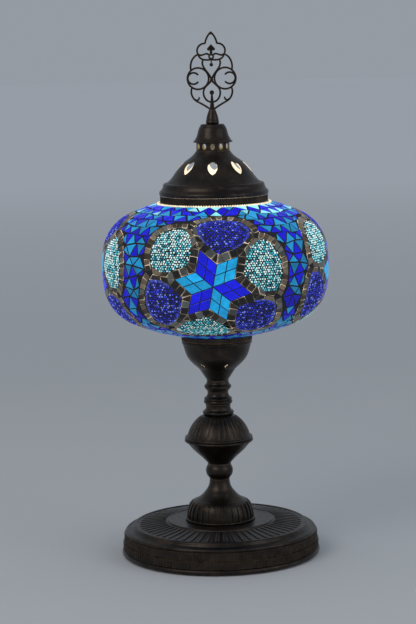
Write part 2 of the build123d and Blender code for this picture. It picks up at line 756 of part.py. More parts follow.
# ================================================================== cap
cap_low_z = glass_top(cap_seat_radius) + 0.02
dome_outer = [(62.0, 498.0), (55.8, 503.8), (50.6, 511.0), (42.4, 521.4), (33.2, 528.6), (25.8, 534.6),
              (22.3, cap_top_z)]
with BuildPart() as cap_dome:
    dome_under = inset(dome_outer, 1.5)
    with BuildSketch(Plane.XZ):
        with BuildLine():
            Line((cap_seat_radius, cap_low_z), (70.6, cap_low_z))
            ThreePointArc((70.6, cap_low_z), (71.9, cap_low_z + 1.5), (70.6, cap_low_z + 3))
            Polyline((70.6, cap_low_z + 3), (69.4, 474.3), (69.4, 481.4), (70.6, 481.6))
            ThreePointArc((70.6, 481.6), (72.0, 484.8), (70.4, 488.0))
            ThreePointArc((70.4, 488.0), (67.8, 491.4), (66.8, 495.4))
            ThreePointArc((66.8, 495.4), (65.0, 497.4), (62.0, 498.0))
            Spline(*dome_outer)
            Polyline((22.3, cap_top_z), (16, cap_top_z), (16, 538), (20.6, 538), dome_under[-2])
            Spline(*reversed(dome_under[:-1]))
            Polyline(dome_under[0], (65.0, 494.2), (67.8, 487.4), (67.8, cap_low_z + 2.2),
                     (cap_seat_radius, cap_low_z))
        make_face()
    revolve(axis=Axis.Z)
    for hole in range(petal_holes):
        with BuildSketch(sloped_plane(petal_start + 360 / petal_holes * hole, 43.6, 519.6, 50)):
            with BuildLine():
                ThreePointArc((0, -11.5), (6.3, 0), (0, 11.5))
                ThreePointArc((0, 11.5), (-6.3, 0), (0, -11.5))
            make_face()
        extrude(amount=8, both=True, mode=Mode.SUBTRACT)
cap_dome.part.label = "cap_dome"

with BuildPart() as cap_knurl:
    with BuildSketch(Plane.XY.offset(474.3)):
        with BuildLine():
            Polyline(*toothed(70.1, 71.0, cap_teeth), close=True)
        make_face()
        Circle(69.4, mode=Mode.SUBTRACT)
    extrude(amount=7.0)
cap_knurl.part.label = "cap_knurl"

# Three spring tabs riveted inside the rim keep the cap centred in the globe's opening.
tab_angles = [90, 210, 330]
with BuildPart() as centring_tabs:
    for angle in tab_angles:
        with BuildSketch(Plane.XZ.rotated((0, 0, angle))):
            Polygon((67.6, 486.5), (66.6, 486.5), (66.6, 477.6), (60.2, 477.6), (60.2, 464), (61.2, 464),
                    (61.2, 476.6), (67.6, 476.6), align=None)
        extrude(amount=5, both=True)
        with BuildSketch(sloped_plane(angle, 66, 482, 0)):
            Circle(1.25)
        extrude(amount=3, mode=Mode.SUBTRACT)
centring_tabs.part.label = "centring_tabs"

with BuildPart() as tab_rivets:
    for angle in tab_angles:
        with BuildSketch(sloped_plane(angle, 65.2, 482, 0)):
            Circle(2.4)
        extrude(amount=1.4)
        with BuildSketch(sloped_plane(angle, 65.2, 482, 0)):
            Circle(1.2)
        extrude(amount=2.35)
tab_rivets.part.label = "tab_rivets"

with BuildPart() as pierced_band:
    with BuildSketch(Plane.XY.offset(cap_top_z)):
        Circle(21.8)
        Circle(20.4, mode=Mode.SUBTRACT)
    extrude(amount=crown_z - cap_top_z)
    for hole in range(band_holes):
        with BuildSketch(sloped_plane(petal_start + 360 / band_holes * hole, 20, 545.4, 0)):
            Ellipse(2.8, 3.9)
        extrude(amount=4, mode=Mode.SUBTRACT)
pierced_band.part.label = "pierced_band"

# Bridge under the dome's top, with windows that let the light through to the band.
with BuildPart() as cap_bridge:
    with BuildSketch(Plane.XY.offset(536.4)):
        Circle(20.4)
        with PolarLocations(11.2, 6):
            Circle(4.4, mode=Mode.SUBTRACT)
        Circle(stud_radius + 0.05, mode=Mode.SUBTRACT)
    extrude(amount=1.6)
cap_bridge.part.label = "cap_bridge"

with BuildPart() as cap_stud:
    with BuildSketch(Plane.XY.offset(530)):
        Circle(stud_radius)
    extrude(amount=58)
    chamfer(cap_stud.edges().filter_by(GeomType.CIRCLE), 0.5)
cap_stud.part.label = "cap_stud"

with BuildPart() as cap_nut:
    with BuildSketch(Plane.XY.offset(531.4)):
        RegularPolygon(5, 6, major_radius=False)
        Circle(stud_radius + 0.02, mode=Mode.SUBTRACT)
    extrude(amount=5)
cap_nut.part.label = "cap_nut"

with BuildPart() as crown:
    with BuildSketch(Plane.XZ):
        with BuildLine():
            Line((19.6, crown_z), (25.2, crown_z))
            ThreePointArc((25.2, crown_z), (25.9, crown_z + 0.9), (25.0, crown_z + 1.8))
            Spline((25.0, crown_z + 1.8), (22.2, 556.4), (20.2, 561.4), (18.8, 566.6), (16.2, 571.8))
            ThreePointArc((16.2, 571.8), (15.2, 573.6), (13.2, crown_top_z))
            Polyline((13.2, crown_top_z), (stud_radius + 0.05, crown_top_z), (stud_radius + 0.05, 572.6),
                     (12.6, 572.6), (17.2, 565.0), (19.6, 556.0), (19.6, crown_z))
        make_face()
    revolve(axis=Axis.Z)
crown.part.label = "crown"

# ================================================================== finial
with BuildPart() as spindle:
    with BuildSketch(Plane.XZ):
        with BuildLine():
            Line((stud_radius + 0.06, crown_top_z + 0.04), (8.0, crown_top_z + 0.04))
            ThreePointArc((8.0, crown_top_z + 0.04), (8.7, 576.2), (8.3, 578.4))
            Spline((8.3, 578.4), (7.3, 584.2), (5.6, 589.4), (4.4, spindle_top_z))
            Polyline((4.4, spindle_top_z), (0, spindle_top_z), (0, 588.4), (stud_radius + 0.06, 588.4),
                     (stud_radius + 0.06, crown_top_z + 0.04))
        make_face()
    revolve(axis=Axis.Z)
    with BuildSketch(Plane.XY.offset(589.6)):
        Rectangle(7.0, finial_thick)
    extrude(amount=5, mode=Mode.SUBTRACT)
spindle.part.label = "spindle"


def scroll(*points):
    """A wire of the filigree on both sides of the stem: a band along a smooth line through the points."""
    for side in (1, -1):
        line = [(side * x, y) for x, y in points]
        left = inset(line, wire_width / 2)
        right = inset(line, -wire_width / 2)
        with BuildLine() as outline:
            Spline(*left)
            Line(left[-1], right[-1])
            Spline(*reversed(right))
            Line(right[0], left[0])
        make_face(outline.edges())


def curl(x, y, radius, gap):
    """A round wire on both sides of the stem, open towards the stem by the gap angle."""
    for side, start in ((1, gap / 2 - 180), (-1, gap / 2)):
        with BuildLine() as outline:
            outer = CenterArc((side * x, y), radius + wire_width / 2, start, 360 - gap)
            inner = CenterArc((side * x, y), radius - wire_width / 2, start, 360 - gap)
            Line(outer @ 0, inner @ 0)
            Line(outer @ 1, inner @ 1)
        make_face(outline.edges())


# The filigree is drawn flat, x out from the stem and y up from the spindle, then stood on edge.
with BuildPart() as filigree:
    with BuildSketch():
        for side in (1, -1):
            with Locations((side * 17.7, 41.6)):
                Circle(13.9 + wire_width / 2)
                Circle(13.9 - wire_width / 2, mode=Mode.SUBTRACT)
        curl(23.6, 41.9, 7.4, 70)
        scroll((0, 101.4), (4.8, 95.4), (7.7, 86.8))
        scroll((7.7, 86.8), (14.2, 85.2), (18.0, 79.8), (16.9, 73.4))
        scroll((16.9, 73.4), (11.0, 72.2), (6.2, 73.6), (2.4, 71.4))
        scroll((16.4, 73.2), (23.0, 68.8), (26.6, 61.4), (26.4, 51.4))
        scroll((-1, 66.2), (5.6, 65.6), (11.0, 66.4), (17.0, 72.6))
        scroll((10.6, 66.0), (11.6, 60.4), (8.8, 54.2), (3.6, 47.2), (0, 38.6))
        scroll((0, 39.6), (4.0, 34.6), (9.6, 28.6), (10.9, 21.6), (7.6, 14.2), (0, 10.8))
        scroll((25.4, 30.4), (26.7, 22.6), (23.0, 14.8), (14.4, 9.2), (7.4, 5.0), (1.4, 0.6))
        scroll((22.6, 14.8), (18.6, 13.6), (16.4, 17.6))
        Polygon((0, 103), (2.0, 100.2), (0, 97.6), (-2.0, 100.2), align=None)
        with BuildLine() as spade:
            Line((0, 86.2), (5.2, 80.4))
            ThreePointArc((5.2, 80.4), (4.2, 77.8), (1.8, 78.0))
            Polyline((1.8, 78.0), (1.8, 70), (-1.8, 70), (-1.8, 78.0))
            ThreePointArc((-1.8, 78.0), (-4.2, 77.8), (-5.2, 80.4))
            Line((-5.2, 80.4), (0, 86.2))
        make_face(spade.edges())
        Polygon((1.1, 22), (2.2, 11), (3.4, 0.4), (3.4, -2.4), (-3.4, -2.4), (-3.4, 0.4), (-2.2, 11),
                (-1.1, 22), align=None)
        with Locations((0, 62.6)):
            Rectangle(1.6, 7.0)
        for y, radius in ((23.2, 3.0), (39.4, 2.4), (59.4, 2.4), (69.8, 3.9)):
            with Locations((0, y)):
                Circle(radius)
        with Locations((0, 69.8)):
            Circle(1.5, mode=Mode.SUBTRACT)
    extrude(amount=finial_thick)

with BuildPart() as finial:
    with Locations(Location((0, finial_thick / 2, finial_z), (90, 0, 0))):
        add(filigree.part)
finial.part.label = "finial"

# ================================================================== export
os.makedirs("parts", exist_ok=True)
export_step(felt_pad.part, "parts/felt_pad.step")
export_step(base_cover.part, "parts/base_cover.step")
export_step(cover_screws.part, "parts/cover_screws.step")
export_step(base_shell.part, "parts/base_shell.step")
export_step(side_knurl_low.part, "parts/side_knurl_low.step")
export_step(side_knurl_high.part, "parts/side_knurl_high.step")
export_step(base_weight.part, "parts/base_weight.step")
export_step(rod_washer.part, "parts/rod_washer.step")
export_step(rod_nuts.part, "parts/rod_nuts.step")
export_step(cord_gland.part, "parts/cord_gland.step")
export_step(gland_nut.part, "parts/gland_nut.step")
export_step(terminal_block.part, "parts/terminal_block.step")
export_step(terminal_screws.part, "parts/terminal_screws.step")
export_step(supply_leads.part, "parts/supply_leads.step")
export_step(earth_lead.part, "parts/earth_lead.step")
export_step(earth_tag.part, "parts/earth_tag.step")
export_step(earth_screw.part, "parts/earth_screw.step")
export_step(stem_rod.part, "parts/stem_rod.step")
export_step(foot_ring.part, "parts/foot_ring.step")
export_step(foot_bell.part, "parts/foot_bell.step")
export_step(neck_bead.part, "parts/neck_bead.step")
export_step(knop_lower.part, "parts/knop_lower.step")
export_step(knop_ring.part, "parts/knop_ring.step")
export_step(knop_upper.part, "parts/knop_upper.step")
export_step(collar_low.part, "parts/collar_low.step")
export_step(collar_mid.part, "parts/collar_mid.step")
export_step(collar_top.part, "parts/collar_top.step")
export_step(gallery_cup.part, "parts/gallery_cup.step")
export_step(gallery_plate.part, "parts/gallery_plate.step")
export_step(globe_gasket.part, "parts/globe_gasket.step")
export_step(glass_globe.part, "parts/glass_globe.step")
export_step(mosaic_coat.part, "parts/mosaic_coat.step")
export_step(trim_ring.part, "parts/trim_ring.step")
export_step(holder_cap.part, "parts/holder_cap.step")
export_step(holder_sleeve.part, "parts/holder_sleeve.step")
export_step(shade_ring.part, "parts/shade_ring.step")
export_step(holder_core.part, "parts/holder_core.step")
export_step(screw_shell.part, "parts/screw_shell.step")
export_step(centre_contact.part, "parts/centre_contact.step")
export_step(bulb_contact.part, "parts/bulb_contact.step")
export_step(bulb_insulator.part, "parts/bulb_insulator.step")
export_step(bulb_cap.part, "parts/bulb_cap.step")
export_step(bulb_glass.part, "parts/bulb_glass.step")
export_step(bulb_mount.part, "parts/bulb_mount.step")
export_step(cap_dome.part, "parts/cap_dome.step")
export_step(cap_knurl.part, "parts/cap_knurl.step")
export_step(centring_tabs.part, "parts/centring_tabs.step")
export_step(tab_rivets.part, "parts/tab_rivets.step")
export_step(pierced_band.part, "parts/pierced_band.step")
export_step(cap_bridge.part, "parts/cap_bridge.step")
export_step(cap_stud.part, "parts/cap_stud.step")
export_step(cap_nut.part, "parts/cap_nut.step")
export_step(crown.part, "parts/crown.step")
export_step(spindle.part, "parts/spindle.step")
export_step(finial.part, "parts/finial.step")
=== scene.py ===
import json
import random
from math import acos, ceil, cos, degrees, hypot, radians, sin, tau

import bmesh
import bpy
from mathutils import Euler, Matrix, Vector


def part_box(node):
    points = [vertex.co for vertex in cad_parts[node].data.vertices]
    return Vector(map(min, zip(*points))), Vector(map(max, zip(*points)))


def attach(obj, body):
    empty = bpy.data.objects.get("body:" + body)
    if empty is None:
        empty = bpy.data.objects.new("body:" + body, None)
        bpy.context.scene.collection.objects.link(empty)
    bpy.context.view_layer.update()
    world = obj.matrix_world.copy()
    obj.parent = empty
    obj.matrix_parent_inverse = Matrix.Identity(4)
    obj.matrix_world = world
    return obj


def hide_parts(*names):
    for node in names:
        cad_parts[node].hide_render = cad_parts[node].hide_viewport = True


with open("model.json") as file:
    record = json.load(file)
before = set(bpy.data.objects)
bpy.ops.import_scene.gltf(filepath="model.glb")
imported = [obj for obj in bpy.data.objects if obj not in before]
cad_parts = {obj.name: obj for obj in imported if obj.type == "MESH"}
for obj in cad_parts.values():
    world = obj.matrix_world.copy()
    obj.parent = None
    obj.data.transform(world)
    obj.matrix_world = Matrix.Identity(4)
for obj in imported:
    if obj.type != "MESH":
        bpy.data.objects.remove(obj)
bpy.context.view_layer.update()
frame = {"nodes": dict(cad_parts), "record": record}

# Mosaic glass table lamp. Metres, +Z up, the lamp's axis on Z, its front towards -Y.

random.seed(11)
MM = 0.001

# ------------------------------------------------------------------ sizes of the mosaic
trim_low, trim_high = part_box("trim_ring")
globe_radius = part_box("mosaic_coat")[1].x
equator_z = 387 * MM
half_height = 95 * MM
side_arc = 180 * MM                # the globe's outline is five tangent arcs
side_angle = 8.0
shoulder_arc = 60 * MM
top_hole = 75.8 * MM               # where the tiles stop under the cap
low_hole = 47.6 * MM
coat_thick = 2.4 * MM
grout_depth = 1.0 * MM             # below the tiles' highest points
tile_depth = 0.22 * MM
bed_depth = 0.85 * MM

medallions = 4
medallion_turn = -1.6              # degrees round the globe, from the front
medallion_drop = -10 * MM          # star's centre along the outline, from the equator
star_side = 29 * MM                # length of a petal's side
petal_turns = range(49, 409, 60)   # directions of the petals and of the lobes between them
lobe_turns = range(19, 379, 60)
strip_width = 11 * MM
strips_per_side = 3                # dark tiles along each side of a petal
lobe_reach = 52 * MM               # from the star's centre to a scallop's centre
ring_inner = 45.6 * MM             # radii of a scallop's row of strips
ring_outer = 54.6 * MM
scallop_half = 58.0                # half the arc of a scallop, in degrees
scallop_strips = 14
strip_wobble = 0.5 * MM
row_height = 14.6 * MM             # rows of field triangles
row_base = 17.5 * MM
least_in_row = 6
field_shift = 2.6 * MM             # how far a field tile's corner may stray along its row
field_clear = 0.8 * MM             # between the field and the scallops' strips
lobe_clear = 1.2 * MM              # between the crushed glass and the strips
grout_gap = 0.6 * MM               # half a grout line
strip_gap = 0.7 * MM
field_gap = 1.0 * MM
tile_bevel = 0.4 * MM
smallest_top = 1.5 * MM * MM       # smaller tiles than these are left out
smallest_field = 25 * MM * MM
tile_wall = 0.3 * MM               # height of a tile's straight side
crest_depth = 0.25 * MM            # a tile's middle lies this much lower than its corners
chip_pitch = 3.4 * MM              # crushed glass, in staggered rows
chip_rows = 0.866                  # a row's height, in pitches
chip_wobble = 0.5 * MM
chip_sizes = (1.4 * MM, 1.95 * MM)
chip_squeeze = 0.72
chip_sunk = 0.92                   # a chip's depth, in its own radii
bead_pitch = 2.15                  # the trim's beads, in bead radii
bead_fill = 0.97

# ------------------------------------------------------------------ the globe's outline
arc_gap = side_arc - shoulder_arc
shoulder_x = globe_radius - shoulder_arc - arc_gap * (1 - cos(radians(side_angle)))
shoulder_rise = arc_gap * sin(radians(side_angle))
crown_rise = half_height - shoulder_rise
top_arc = (shoulder_x**2 + crown_rise**2 - shoulder_arc**2) / (2 * (crown_rise - shoulder_arc))
top_angle = degrees(acos(shoulder_x / (top_arc - shoulder_arc)))
side_run = side_arc * radians(side_angle)
shoulder_run = shoulder_arc * radians(top_angle - side_angle)
crown_run = side_run + shoulder_run
run_top = crown_run + top_arc * (acos(top_hole / top_arc) - radians(top_angle))
run_low = -(crown_run + top_arc * (acos(low_hole / top_arc) - radians(top_angle)))


def polar(centre, radius, turn):
    """A point at an angle in degrees round a centre."""
    return (centre[0] + radius * cos(radians(turn)), centre[1] + radius * sin(radians(turn)))


def outline(run, depth=0.0):
    """Radius and height of the globe's surface, at a length along its outline above the equator."""
    up = abs(run)
    if up <= side_run:
        point = polar((globe_radius - side_arc, 0), side_arc - depth, degrees(up / side_arc))
    elif up <= crown_run:
        turn = side_angle + degrees((up - side_run) / shoulder_arc)
        point = polar((shoulder_x, shoulder_rise), shoulder_arc - depth, turn)
    else:
        turn = top_angle + degrees((up - crown_run) / top_arc)
        point = polar((0, half_height - top_arc), top_arc - depth, turn)
    return point[0], equator_z + (point[1] if run >= 0 else -point[1])


def on_globe(x, run, middle, depth):
    """A point of the flat pattern on the globe; x runs round it from the azimuth middle, in degrees."""
    turn = radians(middle) + x / outline(run)[0]
    radius, height = outline(run, depth)
    return Vector((radius * sin(turn), -radius * cos(turn), height))


# ------------------------------------------------------------------ shader helpers
def make_material(name):
    """A new material, its node tree and its Principled shader."""
    material = bpy.data.materials.new(name)
    material.use_nodes = True
    return material, material.node_tree, material.node_tree.nodes["Principled BSDF"]


def node(tree, kind, inputs=None, **settings):
    """Adds a shader node; each input is a plain value or another node's output socket."""
    made = tree.nodes.new(kind)
    for key, value in settings.items():
        setattr(made, key, value)
    for key, value in (inputs or {}).items():
        if isinstance(value, bpy.types.NodeSocket):
            tree.links.new(value, made.inputs[key])
        else:
            made.inputs[key].default_value = value
    return made


def place(tree):
    """Coordinates fixed to the piece, in metres."""
    return node(tree, "ShaderNodeTexCoord").outputs["Object"]


def noise(tree, scale, detail=4.0, roughness=0.55, where=None):
    """Smooth noise, 0 to 1; scale is in waves per metre."""
    return node(tree, "ShaderNodeTexNoise", {"Vector": where or place(tree), "Scale": scale,
                                             "Detail": detail, "Roughness": roughness}).outputs["Fac"]


def spread(tree, value, low, high, out_low=0.0, out_high=1.0):
    """Maps low..high of a value to out_low..out_high, clamped."""
    return node(tree, "ShaderNodeMapRange", {"Value": value, "From Min": low, "From Max": high,
                                             "To Min": out_low, "To Max": out_high}).outputs["Result"]


def sums(tree, operation, first, second):
    """Two values through one arithmetic operation."""
    return node(tree, "ShaderNodeMath", {0: first, 1: second}, operation=operation).outputs[0]


def blend_colour(tree, factor, first, second, mode="MIX"):
    """Mixes two colours; each is a plain colour or a socket."""
    mix = node(tree, "ShaderNodeMix", data_type="RGBA", blend_type=mode)
    for socket, value in ((mix.inputs[0], factor), (mix.inputs[6], first), (mix.inputs[7], second)):
        if isinstance(value, bpy.types.NodeSocket):
            tree.links.new(value, socket)
        else:
            socket.default_value = value if isinstance(value, float) else (*value, 1.0)
    return mix.outputs[2]


def bump(tree, shader, height, distance, strength=1.0):
    """Relief from a height of 0 to 1, over a distance in metres."""
    made = node(tree, "ShaderNodeBump", {"Height": height, "Distance": distance, "Strength": strength})
    tree.links.new(made.outputs["Normal"], shader.inputs["Normal"])


def link(tree, shader, **inputs):
    """Sets the shader's inputs; an underscore in a name stands for a space."""
    for key, value in inputs.items():
        name = key.replace("_", " ")
        if isinstance(value, bpy.types.NodeSocket):
            tree.links.new(value, shader.inputs[name])
        elif isinstance(value, tuple):
            shader.inputs[name].default_value = (*value, 1.0)
        else:
            shader.inputs[name].default_value = value


def edge_mask(tree, radius, low, high):
    """1 on the sharp edges of a piece: on the bronze, where the finish wears off; on the glass tiles, where a
    highlight is painted.
    """
    rounded = node(tree, "ShaderNodeBevel", {"Radius": radius}, samples=6).outputs["Normal"]
    flat = node(tree, "ShaderNodeNewGeometry").outputs["Normal"]
    agree = node(tree, "ShaderNodeVectorMath", {0: rounded, 1: flat},
                 operation="DOT_PRODUCT").outputs["Value"]
    return spread(tree, agree, 1 - low, 1 - high)


def inward_mask(tree):
    """1 on faces that look towards the lamp's axis, and on the sides of holes through a wall: where painted
    glow goes.
    """
    geometry = node(tree, "ShaderNodeNewGeometry")
    flat = node(tree, "ShaderNodeVectorMath", {0: place(tree), 1: (-1.0, -1.0, 0.0)}, operation="MULTIPLY")
    inward = node(tree, "ShaderNodeVectorMath", {0: flat.outputs[0]}, operation="NORMALIZE").outputs[0]
    facing = node(tree, "ShaderNodeVectorMath", {0: inward, 1: geometry.outputs["Normal"]},
                  operation="DOT_PRODUCT").outputs["Value"]
    height = node(tree, "ShaderNodeSeparateXYZ", {0: geometry.outputs["Normal"]}).outputs["Z"]
    steep = spread(tree, height, 0.86, 0.9, 1.0, 0.0)
    return sums(tree, "MULTIPLY", spread(tree, facing, -0.3, -0.15), steep)


# ------------------------------------------------------------------ materials
def bronze(name="oil_rubbed_bronze", glow=0.0, light=(1.0, 0.80, 0.56)):
    """Near-black bronze patina, mottled, worn to brown brass along the edges; glow paints the bulb's light on
    its lining.
    """
    material, tree, shader = make_material(name)
    mottle = spread(tree, noise(tree, 38.0, 6.0), 0.35, 0.7)
    patina = blend_colour(tree, mottle, (0.014, 0.0105, 0.0085), (0.05, 0.035, 0.025))
    rust = spread(tree, noise(tree, 110.0, 5.0), 0.56, 0.72, 0.0, 0.6)
    patina = blend_colour(tree, rust, patina, (0.085, 0.05, 0.03))
    patchy = spread(tree, noise(tree, 95.0), 0.36, 0.6)
    worn = sums(tree, "MULTIPLY", edge_mask(tree, 1.1 * MM, 0.02, 0.16), patchy)
    colour = blend_colour(tree, worn, patina, (0.20, 0.13, 0.065))
    rough = spread(tree, noise(tree, 260.0, 3.0), 0.3, 0.7, 0.3, 0.5)
    link(tree, shader, Base_Color=colour, Metallic=0.92, Roughness=rough, Coat_Weight=0.25,
         Coat_Roughness=0.28)
    grain = sums(tree, "ADD", noise(tree, 900.0, 3.0), sums(tree, "MULTIPLY", mottle, 0.6))
    bump(tree, shader, grain, 0.12 * MM)
    # Painted glow: the bulb's light on the lining, as warm emission on the inward faces and the holes' sides.
    if glow:
        level = spread(tree, noise(tree, 45.0), 0.3, 0.7, 0.7 * glow, glow)
        lit = sums(tree, "MULTIPLY", inward_mask(tree), level)
        link(tree, shader, Emission_Color=light, Emission_Strength=lit)
    return material


def plain_metal(name, dark, light, rough_low, rough_high, grain=300.0):
    """Plated or turned metal with fine brushing round the axis."""
    material, tree, shader = make_material(name)
    stretched = node(tree, "ShaderNodeVectorMath", {0: place(tree), 1: (1.0, 1.0, 9.0)}, operation="MULTIPLY")
    lines = noise(tree, grain, 3.0, where=stretched.outputs[0])
    link(tree, shader, Base_Color=blend_colour(tree, noise(tree, 60.0), dark, light), Metallic=1.0,
         Roughness=spread(tree, lines, 0.3, 0.7, rough_low, rough_high))
    bump(tree, shader, lines, 0.05 * MM)
    return material


def moulded(name, dark, light, roughness, grain=700.0, depth=0.06, sheen=0.0):
    """Plastic, rubber, porcelain, cast iron or felt: two close colours and a fine grain."""
    material, tree, shader = make_material(name)
    link(tree, shader, Base_Color=blend_colour(tree, noise(tree, 50.0, 5.0), dark, light),
         Roughness=roughness, Sheen_Weight=sheen)
    bump(tree, shader, noise(tree, grain, 4.0), depth * MM)
    return material


def clear_glass(name, colour, roughness, glow=0.0):
    """Blown glass with slight waves; glow is the light that it scatters."""
    material, tree, shader = make_material(name)
    link(tree, shader, Base_Color=colour, Roughness=roughness, Transmission_Weight=1.0, IOR=1.5,
         Emission_Color=colour, Emission_Strength=glow)
    bump(tree, shader, noise(tree, 30.0, 2.0), 0.2 * MM, 0.4)
    return material


def lit_filament():
    """Glowing filament, a little hotter in places."""
    material, tree, shader = make_material("lit_filament")
    heat = spread(tree, noise(tree, 200.0), 0.3, 0.7, 4.0, 7.0)
    link(tree, shader, Base_Color=(1.0, 0.8, 0.5), Emission_Color=(1.0, 0.72, 0.38), Emission_Strength=heat)
    return material


def lit_glass(name, strength, streak_scale, roughness, shine):
    """Coloured glass lit from behind, its light painted as emission: each piece has its own tint, with
    streaks and seeds in the glass, and a painted highlight along its edges.
    """
    material, tree, shader = make_material(name)
    tint = node(tree, "ShaderNodeVertexColor", layer_name="tint").outputs["Color"]
    streaks = spread(tree, noise(tree, streak_scale, 5.0, 0.65), 0.3, 0.72, 0.62, 1.18)
    fine = spread(tree, noise(tree, streak_scale * 7, 3.0), 0.35, 0.65, 0.88, 1.08)
    # Painted highlight: a pale blue-white added to the glow along each piece's edges.
    painted_rim_highlight = edge_mask(tree, 0.5 * MM, 0.03, 0.3)
    colour = blend_colour(tree, spread(tree, painted_rim_highlight, 0, 1, 0.0, 0.12), tint, (0.75, 0.9, 1.0), "ADD")
    level = sums(tree, "MULTIPLY", sums(tree, "MULTIPLY", streaks, fine), strength)
    link(tree, shader, Base_Color=blend_colour(tree, 0.5, tint, (0.0, 0.0, 0.0)), Roughness=roughness,
         Emission_Color=colour, Emission_Strength=level, Specular_IOR_Level=0.3, Coat_Weight=shine,
         Coat_Roughness=0.08)
    bump(tree, shader, noise(tree, streak_scale * 1.5, 3.0), 0.25 * MM, 0.5)
    return material


def grout():
    """Sanded dark grout outside; inside, painted glow in patches of the tiles' colours stands in for the lit
    tiles seen through the glass.
    """
    material, tree, shader = make_material("dark_grout")
    sand = noise(tree, 1500.0, 4.0)
    # Painted glow inside: cells in the tiles' colours, on the faces that look towards the axis.
    cells = node(tree, "ShaderNodeTexVoronoi", {"Vector": place(tree), "Scale": 75.0}, feature="F1")
    ramp = node(tree, "ShaderNodeValToRGB", {"Fac": node(tree, "ShaderNodeSeparateColor",
                                                          {0: cells.outputs["Color"]}).outputs[0]})
    ramp.color_ramp.interpolation = "CONSTANT"
    patches = ((0.3, (0.03, 0.35, 0.75, 1)), (0.62, (0.25, 0.75, 0.8, 1)), (0.85, (0.01, 0.03, 0.1, 1)))
    for position, colour in patches:
        ramp.color_ramp.elements.new(position).color = colour
    ramp.color_ramp.elements[0].color = (0.01, 0.03, 0.6, 1)
    link(tree, shader, Base_Color=blend_colour(tree, sand, (0.006, 0.006, 0.008), (0.03, 0.03, 0.034)),
         Roughness=0.85, Emission_Color=ramp.outputs["Color"],
         Emission_Strength=sums(tree, "MULTIPLY", inward_mask(tree), 0.7))
    bump(tree, shader, sand, 0.2 * MM)
    return material


# colour and strength of the studio's even light
STUDIO = (0.60, 0.66, 0.74)
STUDIO_STRENGTH = 0.5


def floor_material():
    """Pale and plain; far from the lamp it fades into the colour of the studio."""
    material, tree, shader = make_material("pale_floor")
    away = node(tree, "ShaderNodeVectorMath", {0: place(tree)}, operation="LENGTH").outputs["Value"]
    colour = blend_colour(tree, noise(tree, 3.0), (0.69, 0.70, 0.71), (0.71, 0.71, 0.71))
    link(tree, shader, Base_Color=colour, Roughness=0.9, Specular_IOR_Level=0.1, Emission_Color=STUDIO,
         Emission_Strength=spread(tree, away, 1.5, 7.0, 0.0, 0.3 * STUDIO_STRENGTH))
    return material


def cad_materials():
    """Gives every CAD node the material of its slot."""
    dark_bronze = bronze()
    # The cap, cup and band bronzes carry a painted glow on their linings, strongest on the cap.
    pierced = {"cap_dome": bronze("pierced_bronze", 1.5), "gallery_cup": bronze("cup_bronze", 0.55),
               "pierced_band": bronze("band_bronze", 0.3, (0.85, 0.6, 0.14))}
    by_slot = {
        "felt": moulded("black_felt", (0.008, 0.009, 0.008), (0.03, 0.032, 0.03), 0.95, 1400.0, 0.4, 0.5),
        "antique_bronze": dark_bronze,
        "zinc_steel": plain_metal("zinc_plate", (0.42, 0.43, 0.43), (0.62, 0.61, 0.58), 0.25, 0.45),
        "weight_iron": moulded("cast_iron", (0.02, 0.02, 0.022), (0.07, 0.068, 0.065), 0.7, 350.0, 0.4),
        "black_plastic": moulded("black_plastic", (0.012, 0.012, 0.013), (0.03, 0.03, 0.03), 0.4),
        "terminal_white": moulded("white_plastic", (0.78, 0.77, 0.73), (0.86, 0.85, 0.81), 0.35),
        "contact_brass": plain_metal("bright_brass", (0.55, 0.38, 0.14), (0.72, 0.54, 0.24), 0.18, 0.35),
        "lead_insulation": moulded("brown_insulation", (0.12, 0.05, 0.02), (0.18, 0.08, 0.035), 0.4),
        "earth_insulation": moulded("green_insulation", (0.08, 0.3, 0.03), (0.6, 0.55, 0.03), 0.4),
        "porcelain": moulded("porcelain", (0.78, 0.77, 0.73), (0.86, 0.85, 0.80), 0.12, 120.0),
        "gasket_rubber": moulded("gasket_rubber", (0.01, 0.01, 0.01), (0.03, 0.03, 0.03), 0.75, 900.0, 0.2),
        "globe_glass": clear_glass("blown_glass", (0.85, 0.95, 1.0), 0.08),
        "mosaic": grout(),
        "trim_beads": plain_metal("trim_metal", (0.6, 0.5, 0.3), (0.9, 0.8, 0.6), 0.2, 0.3),
        "bulb_black": moulded("black_vitrite", (0.01, 0.01, 0.012), (0.02, 0.02, 0.022), 0.1),
        "bulb_metal": plain_metal("bulb_cap_metal", (0.6, 0.6, 0.58), (0.8, 0.8, 0.77), 0.2, 0.4),
        "bulb_clear": clear_glass("bulb_glass_clear", (1.0, 0.93, 0.8), 0.03, 0.35),
        "bulb_filament": lit_filament(),
    }
    for part in frame["record"]["subparts"]:
        piece = frame["nodes"][part["node"]]
        piece.data.materials.clear()
        piece.data.materials.append(pierced.get(part["node"], by_slot[part["material_slot"]]))
    return by_slot


